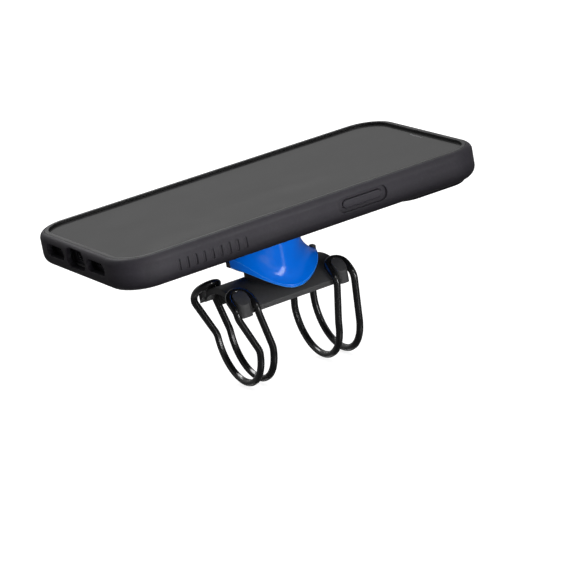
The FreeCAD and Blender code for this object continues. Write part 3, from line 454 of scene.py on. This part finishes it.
# ---------------------------------------------------------------- modelled pieces


def stand_in(name, mesh, look, node, body):
    """Turn a mesh into a smooth piece that rides on a body in place of a CAD node."""
    data = bpy.data.meshes.new(name)
    bmesh.ops.recalc_face_normals(mesh, faces=mesh.faces)
    mesh.to_mesh(data)
    mesh.free()
    for polygon in data.polygons:
        polygon.use_smooth = True
    item = bpy.data.objects.new(name, data)
    scene.collection.objects.link(item)
    data.materials.append(LOOKS[look])
    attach(item, body)
    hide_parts(node)
    return item


def swept(mesh, path, section, closed):
    """Rings of vertices along a path. section(k, side, other) gives the points of ring k from the path."""
    rings = []
    side = None
    count = len(path)
    for k in range(count):
        before = path[k - 1] if closed or k > 0 else path[k]
        after = path[(k + 1) % count] if closed or k < count - 1 else path[k]
        tangent = (after - before).normalized()
        if side is None:
            side = tangent.orthogonal().normalized()
        side = (side - tangent * side.dot(tangent)).normalized()
        other = tangent.cross(side)
        ring = []
        for point in section(k, side, other):
            ring.append(mesh.verts.new(path[k] + side * point.dot(side) + other * point.dot(other)))
        rings.append(ring)
    return rings


def spokes(count, side, other):
    """Unit vectors round a path, in the plane of side and other."""
    for i in range(count):
        a = TURN * i / count
        yield side * math.cos(a) + other * math.sin(a)


def skin(mesh, here, there):
    """Faces between two rings."""
    size = len(here)
    for i in range(size):
        j = (i + 1) % size
        mesh.faces.new((here[i], here[j], there[j], there[i]))


# The bands' route in millimetres. Distances from the stem's axis are to the middle of the cord.
BAND_RADIUS = 1.33
BAND_TOP, BAND_PRESSED, BAND_FREE = 23.1, 16.2, 16.37
BEND_RADIUS, BEND_SIDE = 4.0, 16.75
LOOP_ANGLE = math.radians(32.3)
STEM_RADIUS = 15.02
# the two strands of each band: x over the base, x under the stem, and the distance under the stem
BANDS = {
    "rear_band": ((-25.7, -19.2, BAND_PRESSED), (-17.1, -13.6, BAND_PRESSED)),
    "front_band": ((24.5, 23.8, BAND_FREE), (16.9, 14.9, BAND_PRESSED)),
}
TOP_STEPS, BEND_STEPS, FALL_STEPS, UNDER_STEPS, LOOP_STEPS = 5, 8, 24, 60, 14
BAND_SIDES = 28
EASE_ROUNDS = 3
# the cord's thickness varies by this share, in this many waves round the ring
SWELL, WAVES = 0.012, 5
# the mould line's height, and its middle and half its width as shares of the way from the side to the outside
SEAM, SEAM_PLACE, SEAM_WIDTH = 0.03, 0.05, 0.25


def strand(top_x, low_x, low):
    """One strand's middle line in metres: over the base, down the far side, under the stem, and back up."""
    bend_y = BEND_SIDE - BEND_RADIUS
    bend_z = math.sqrt((BAND_TOP - BEND_RADIUS) ** 2 - bend_y**2)
    slope = math.atan2(bend_z, bend_y) - math.acos((low - BEND_RADIUS) / (BAND_TOP - BEND_RADIUS))
    level = math.pi / 2 - slope
    bend_angle = math.atan2(bend_y, bend_z)
    half = []
    for k in range(TOP_STEPS + 1):
        a = LOOP_ANGLE + (bend_angle - LOOP_ANGLE) * k / TOP_STEPS
        half.append((top_x, BAND_TOP * math.sin(a), BAND_TOP * math.cos(a)))
    for k in range(1, BEND_STEPS + 1):
        a = bend_angle + (level - bend_angle) * k / BEND_STEPS
        half.append((top_x, bend_y + BEND_RADIUS * math.sin(a), bend_z + BEND_RADIUS * math.cos(a)))
    start = Vector(half[-1])
    end = Vector((low_x, low * math.sin(level), low * math.cos(level)))
    for k in range(1, FALL_STEPS + 1):
        half.append(tuple(start.lerp(end, k / FALL_STEPS)))
    under = []
    for k in range(1, UNDER_STEPS):
        a = level + (TURN - 2 * level) * k / UNDER_STEPS
        under.append((low_x, low * math.sin(a), low * math.cos(a)))
    near = [(x, -y, z) for x, y, z in reversed(half)]
    return [Vector(p) * MM for p in half + under + near]


def loop(from_x, to_x, side):
    """The half round behind a horn that joins two strands, on the far (1) or the near (-1) side."""
    radius = (to_x - from_x) / 2
    points = []
    for k in range(1, LOOP_STEPS):
        a = math.pi * k / LOOP_STEPS
        x = (from_x + to_x) / 2 - radius * math.cos(a)
        back = abs(radius) * math.sin(a)
        y = side * (BAND_TOP * math.sin(LOOP_ANGLE) - back * math.cos(LOOP_ANGLE))
        z = BAND_TOP * math.cos(LOOP_ANGLE) + back * math.sin(LOOP_ANGLE)
        points.append(Vector((x, y, z)) * MM)
    return points


def relaxed(points, rounds):
    """Ease the corners of a closed path."""
    for _ in range(rounds):
        count = len(points)
        points = [(points[k - 1] + points[k] * 2 + points[(k + 1) % count]) / 4 for k in range(count)]
    return points


def make_band(name, outer, inner):
    """One elastic ring: round, flat where it presses on the stem, with a thin mould line."""
    path = strand(*outer) + loop(outer[0], inner[0], -1)
    path += strand(*inner)[::-1] + loop(inner[0], outer[0], 1)
    path = relaxed(path, EASE_ROUNDS)

    def section(k, side, other):
        """The cord's points, none of them deeper than the stem's surface."""
        out = Vector((0, path[k].y, path[k].z))
        outward = out.normalized()
        deepest = STEM_RADIUS * MM - out.length
        swell = 1 + SWELL * math.sin(TURN * WAVES * k / len(path))
        for spoke in spokes(BAND_SIDES, side, other):
            seam = SEAM * max(0.0, 1 - abs(spoke.dot(outward) - SEAM_PLACE) / SEAM_WIDTH)
            point = spoke * (BAND_RADIUS * swell + seam) * MM
            yield point + outward * max(0.0, deepest - point.dot(outward))

    mesh = bmesh.new()
    rings = swept(mesh, path, section, True)
    for here, there in zip(rings, rings[1:]):
        skin(mesh, here, there)
    # the last ring may be turned against the first, so it is matched before the tube closes
    first, last = rings[0], rings[-1]
    turned = [last[i:] + last[:i] for i in range(BAND_SIDES)]
    skin(mesh, min(turned, key=lambda ring: sum((a.co - b.co).length for a, b in zip(ring, first))), first)
    stand_in(name + "_ring", mesh, "band_rubber", name, "base")


# The grip pad in millimetres and degrees, a hair smaller than its CAD node. Radii are from the stem's axis.
PAD_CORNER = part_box("grip_pad")[1] / MM
PAD_INNER = STEM_RADIUS + 0.01
PAD_OUTER = PAD_CORNER.z - 0.03
PAD_HALF_LENGTH = PAD_CORNER.x - 0.05
PAD_HALF_ARC = math.degrees(math.asin(PAD_CORNER.y / PAD_CORNER.z)) - 0.3
PAD_COLUMNS, PAD_ROWS = 96, 80
# grooves run along the stem and channels across it, and no cut is deeper than CUT_LIMIT
GROOVES, GROOVE_DEPTH = 9, 0.95
CHANNELS, CHANNEL_DEPTH, CHANNEL_HALF = 5, 0.9, 0.035
CUT_LIMIT = 1.3
# how far each side is eased back at its edges, and over what share of the pad
INNER_EASE, INNER_EASE_SHARE = 0.5, 0.015
OUTER_EASE, OUTER_EASE_SHARE = 0.4, 0.012


def pad_inside(u, v):
    """Distance of the ribbed side from the stem's axis: ribs along the stem, cut by cross channels."""
    rib = 0.5 + 0.5 * math.cos(TURN * ((u * GROOVES) % 1.0))
    groove = GROOVE_DEPTH * (1 - rib) ** 2
    channel = CHANNEL_DEPTH if abs((v * CHANNELS) % 1.0 - 0.5) < CHANNEL_HALF else 0.0
    edge = min(u, 1 - u, v, 1 - v)
    return PAD_INNER + min(CUT_LIMIT, groove + channel) + INNER_EASE * max(0.0, 1 - edge / INNER_EASE_SHARE)


def pad_outside(u, v):
    """Distance of the plain side from the stem's axis, eased at the two ends."""
    return PAD_OUTER - OUTER_EASE * max(0.0, 1 - min(v, 1 - v) / OUTER_EASE_SHARE)


def make_pad():
    """The grip pad: a curved block with ribs on the stem side."""
    mesh = bmesh.new()
    sheets = []
    for reach in (pad_inside, pad_outside):
        sheet = []
        for i in range(PAD_COLUMNS + 1):
            angle = math.radians((2 * i / PAD_COLUMNS - 1) * PAD_HALF_ARC)
            column = []
            for j in range(PAD_ROWS + 1):
                radius = reach(i / PAD_COLUMNS, j / PAD_ROWS)
                x = (2 * j / PAD_ROWS - 1) * PAD_HALF_LENGTH
                spot = Vector((x, radius * math.sin(angle), radius * math.cos(angle))) * MM
                column.append(mesh.verts.new(spot))
            sheet.append(column)
        sheets.append(sheet)
    inner, outer = sheets
    for i in range(PAD_COLUMNS):
        for j in range(PAD_ROWS):
            mesh.faces.new((inner[i][j], inner[i][j + 1], inner[i + 1][j + 1], inner[i + 1][j]))
            mesh.faces.new((outer[i][j], outer[i + 1][j], outer[i + 1][j + 1], outer[i][j + 1]))
    for i in range(PAD_COLUMNS):
        for j in (0, PAD_ROWS):
            mesh.faces.new((inner[i][j], inner[i + 1][j], outer[i + 1][j], outer[i][j]))
    for j in range(PAD_ROWS):
        for i in (0, PAD_COLUMNS):
            mesh.faces.new((inner[i][j], inner[i][j + 1], outer[i][j + 1], outer[i][j]))
    stand_in("grip_pad_ribbed", mesh, "pad_rubber", "grip_pad", "base")


# The spring in millimetres: the radii of the coil and the wire, and the heights of the wire's middle at the
# two ends. The ends of the spring are SPRING_END beyond those. An end turn climbs only CLOSED_PITCH of what
# it would in an even coil.
COIL_RADIUS, WIRE_RADIUS, COIL_LOW, COIL_HIGH = 9.45, 0.53, 26.1, 37.4
COIL_TURNS, COIL_STEPS, WIRE_SIDES = 5.5, 44, 14
CLOSED_PITCH = 0.55


def coil_share(turn):
    """How far up the coil a turn has climbed: slowly in the first and the last turn, evenly between."""
    closed = CLOSED_PITCH / COIL_TURNS
    left = COIL_TURNS - turn
    if turn < 1:
        return closed * turn * turn
    if left < 1:
        return 1 - closed * left * left
    return closed + (turn - 1) / (COIL_TURNS - 2) * (1 - 2 * closed)


def make_spring():
    """A coil with close end turns, built at one length; the real spring shortens as the collar goes down."""
    path = []
    steps = int(COIL_TURNS * COIL_STEPS)
    for k in range(steps + 1):
        turn = COIL_TURNS * k / steps
        z = COIL_LOW + (COIL_HIGH - COIL_LOW) * coil_share(turn)
        x, y = COIL_RADIUS * math.cos(TURN * turn), COIL_RADIUS * math.sin(TURN * turn)
        path.append(Vector((x, y, z)) * MM)

    def section(k, side, other):
        for spoke in spokes(WIRE_SIDES, side, other):
            yield spoke * WIRE_RADIUS * MM

    mesh = bmesh.new()
    rings = swept(mesh, path, section, False)
    for here, there in zip(rings, rings[1:]):
        skin(mesh, here, there)
    mesh.faces.new(rings[0][::-1])
    mesh.faces.new(rings[-1])
    item = stand_in("collar_spring_coil", mesh, "spring_steel", "collar_spring", "base")
    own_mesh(item)


# The liner in metres: its corners, its cells, its quilt, and the room it leaves at the edges.
LINER_CORNER = 9 * MM
LINER_COLUMNS, LINER_ROWS = 150, 76
QUILT_PITCH, QUILT_DEPTH = 7 * MM, 0.05 * MM
LINER_MARGIN, CAMERA_GAP = 0.1 * MM, 0.3 * MM
LINER_TOP_GAP, LINER_LOW_GAP = 0.07 * MM, 0.02 * MM


def make_liner():
    """The cloth sheet between case and phone: rounded corners, a soft quilt, open at the camera."""
    low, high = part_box("case_liner")
    hole_low, hole_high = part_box("camera_guard")
    length, width = high.x - low.x, high.y - low.y
    mesh = bmesh.new()

    def inside(x, y):
        dx = max(abs(x - (low.x + high.x) / 2) - (length / 2 - LINER_CORNER), 0)
        dy = max(abs(y - (low.y + high.y) / 2) - (width / 2 - LINER_CORNER), 0)
        in_hole_x = hole_low.x + CAMERA_GAP < x < hole_high.x - CAMERA_GAP
        in_hole_y = hole_low.y + CAMERA_GAP < y < hole_high.y - CAMERA_GAP
        return math.hypot(dx, dy) <= LINER_CORNER - LINER_MARGIN and not (in_hole_x and in_hole_y)

    def quilt(x, y):
        wave = TURN / QUILT_PITCH
        return QUILT_DEPTH * math.cos(wave * (x + y)) * math.cos(wave * (x - y))

    verts = {}

    def vert(i, j, top):
        if (i, j, top) not in verts:
            x = low.x + LINER_MARGIN + (length - 2 * LINER_MARGIN) * i / LINER_COLUMNS
            y = low.y + LINER_MARGIN + (width - 2 * LINER_MARGIN) * j / LINER_ROWS
            z = high.z - LINER_TOP_GAP + quilt(x, y) if top else low.z + LINER_LOW_GAP
            verts[i, j, top] = mesh.verts.new((x, y, z))
        return verts[i, j, top]

    cells = set()
    for i in range(LINER_COLUMNS):
        for j in range(LINER_ROWS):
            middle = low.x + length * (i + 0.5) / LINER_COLUMNS, low.y + width * (j + 0.5) / LINER_ROWS
            if inside(*middle):
                cells.add((i, j))
    for i, j in sorted(cells):
        corners = ((i, j), (i + 1, j), (i + 1, j + 1), (i, j + 1))
        mesh.faces.new([vert(a, b, True) for a, b in corners])
        mesh.faces.new([vert(a, b, False) for a, b in reversed(corners)])
        sides = zip(((i, j - 1), (i + 1, j), (i, j + 1), (i - 1, j)), corners, corners[1:] + corners[:1])
        for neighbour, start, end in sides:
            if neighbour not in cells:
                mesh.faces.new((vert(*start, True), vert(*end, True), vert(*end, False), vert(*start, False)))
    stand_in("case_liner_cloth", mesh, "liner_cloth", "case_liner", "case")


# ---------------------------------------------------------------- floor, sky, lights and camera

# the floor's half side and the gap under the object, in metres
FLOOR_HALF, FLOOR_GAP = 20, 0.5 * MM
FLOOR_PALE, FLOOR_ROUGHNESS, FLOOR_GLOW = (0.6, 0.6, 0.6), 0.95, 0.82
FLOOR_BOUNCE = (0.1, 0.1, 0.1)
SHEEN_COLOUR, SHEEN_ROUGHNESS, SHEEN_SHARE = (0.9, 0.9, 0.9), 0.15, 0.2
# the sky's brightest side in degrees, the span across the sky that it brightens over, and its least and
# greatest strength
SKY_SIDE = (160, 60)
SKY_SPREAD = (-0.7, 0.9)
SKY_RANGE = (0.035, 0.29)
LIGHT_TARGET = Vector((0, 0, 0.03))
# azimuth and elevation in degrees, distance and size in metres, watts, and whether it shows in reflections
LIGHTS = {
    "key": (16, 50, 0.8, (0.45, 0.3), 1.1, True),
    "strip": (0, 5, 0.6, (0.42, 0.08), 0.08, True),
    "tall": (18, 6, 0.45, (0.06, 0.22), 0.5, True),
    "front": (8, 8, 0.55, (0.35, 0.3), 0.25, False),
    "right": (35, 10, 0.6, (0.3, 0.3), 0.12, False),
    "near": (-24, -2, 0.2, (0.08, 0.08), 0.13, False),
    "back": (170, 46, 0.8, (0.6, 0.3), 3.2, True),
}
CASE_CENTRE = Vector((0, 0, (CASE_BOTTOM + CASE_TOP) / 2))
# the camera: angles in degrees, distance and aim in metres, lens and sensor in millimetres
VIEW_AZIMUTH, VIEW_ELEVATION, VIEW_ROLL = -27.32, 17.487, -10.555
VIEW_DISTANCE = 1.1028
AIM_RIGHT, AIM_UP = 0.01134, -0.03233
LENS, SENSOR_WIDTH = 186.4, 36
CLIP_NEAR, CLIP_FAR = 0.05, 60


def show(tree, output, seen, other):
    """Send the first shader to the camera's own rays, and the second to all other rays."""
    path = tree.nodes.new("ShaderNodeLightPath")
    mix = tree.nodes.new("ShaderNodeMixShader")
    tree.links.new(path.outputs["Is Camera Ray"], mix.inputs[0])
    tree.links.new(other.outputs[0], mix.inputs[1])
    tree.links.new(seen.outputs[0], mix.inputs[2])
    tree.links.new(mix.outputs[0], tree.nodes[output].inputs["Surface"])


def make_floor():
    """Pale and softly shadowed to the camera; darker, with a slight sheen, to the object's reflections."""
    mesh = bmesh.new()
    bmesh.ops.create_grid(mesh, x_segments=2, y_segments=2, size=FLOOR_HALF)
    data = bpy.data.meshes.new("floor")
    mesh.to_mesh(data)
    mesh.free()
    floor = bpy.data.objects.new("floor", data)
    floor.location.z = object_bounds()[0].z - FLOOR_GAP
    scene.collection.objects.link(floor)
    look = Look("floor")
    look.principled(
        Base_Color=FLOOR_PALE,
        Roughness=FLOOR_ROUGHNESS,
        Specular_IOR_Level=0.0,
        Emission_Color=WHITE,
        Emission_Strength=FLOOR_GLOW,
    )
    bounce = look.add("ShaderNodeBsdfDiffuse")
    look.give(bounce.inputs["Color"], FLOOR_BOUNCE)
    sheen = look.add("ShaderNodeBsdfGlossy")
    look.give(sheen.inputs["Color"], SHEEN_COLOUR)
    look.give(sheen.inputs["Roughness"], SHEEN_ROUGHNESS)
    both = look.add("ShaderNodeMixShader")
    look.give(both.inputs[0], SHEEN_SHARE)
    look.join(bounce.outputs[0], both.inputs[1])
    look.join(sheen.outputs[0], both.inputs[2])
    show(look.tree, "Material Output", look.shader, both)
    data.materials.append(look.material)


def make_world():
    """White to the camera, and for the object a soft sky that is brighter above and behind it."""
    world = bpy.data.worlds.new("world")
    scene.world = world
    world.use_nodes = True
    tree = world.node_tree
    white = tree.nodes["Background"]
    white.inputs["Color"].default_value = (*WHITE, 1)
    white.inputs["Strength"].default_value = 1.0
    coords = tree.nodes.new("ShaderNodeTexCoord")
    dot = tree.nodes.new("ShaderNodeVectorMath")
    dot.operation = "DOT_PRODUCT"
    dot.inputs[1].default_value = direction(*SKY_SIDE)
    tree.links.new(coords.outputs["Generated"], dot.inputs[0])
    span = tree.nodes.new("ShaderNodeMapRange")
    span.interpolation_type = "SMOOTHSTEP"
    for key, value in zip(("From Min", "From Max", "To Min", "To Max"), (*SKY_SPREAD, *SKY_RANGE)):
        span.inputs[key].default_value = value
    tree.links.new(dot.outputs["Value"], span.inputs["Value"])
    sky = tree.nodes.new("ShaderNodeBackground")
    sky.inputs["Color"].default_value = (*WHITE, 1)
    tree.links.new(span.outputs["Result"], sky.inputs["Strength"])
    show(tree, "World Output", white, sky)


def make_light(name, azimuth, elevation, distance, size, power, mirrored):
    """A soft box that faces the target."""
    data = bpy.data.lights.new(name, "AREA")
    data.shape = "RECTANGLE"
    data.size, data.size_y = size
    data.energy = power
    lamp = bpy.data.objects.new(name, data)
    scene.collection.objects.link(lamp)
    where = direction(azimuth, elevation)
    lamp.location = LIGHT_TARGET + where * distance
    lamp.rotation_euler = where.to_track_quat("Z", "Y").to_euler()
    lamp.visible_camera = False
    lamp.visible_glossy = mirrored


def make_camera():
    """A long lens from the front left, a little above, rolled so that the phone rises to the right."""
    back = direction(VIEW_AZIMUTH, VIEW_ELEVATION)
    level = direction(VIEW_AZIMUTH + 90, 0)
    roll = Matrix.Rotation(math.radians(VIEW_ROLL), 3, back)
    right = roll @ level
    up = roll @ back.cross(level)
    data = bpy.data.cameras.new("camera")
    data.lens = LENS
    data.sensor_width = SENSOR_WIDTH
    data.clip_start, data.clip_end = CLIP_NEAR, CLIP_FAR
    camera = bpy.data.objects.new("camera", data)
    scene.collection.objects.link(camera)
    matrix = Matrix((right, up, back)).transposed().to_4x4()
    matrix.translation = CASE_CENTRE + VIEW_DISTANCE * back + AIM_RIGHT * right + AIM_UP * up
    camera.matrix_world = matrix
    scene.camera = camera


paint_nodes()
for band, strands in BANDS.items():
    make_band(band, *strands)
make_pad()
make_spring()
make_liner()
make_floor()
make_world()
for light, settings in LIGHTS.items():
    make_light(light, *settings)
make_camera()
scene.view_settings.view_transform = "Standard"
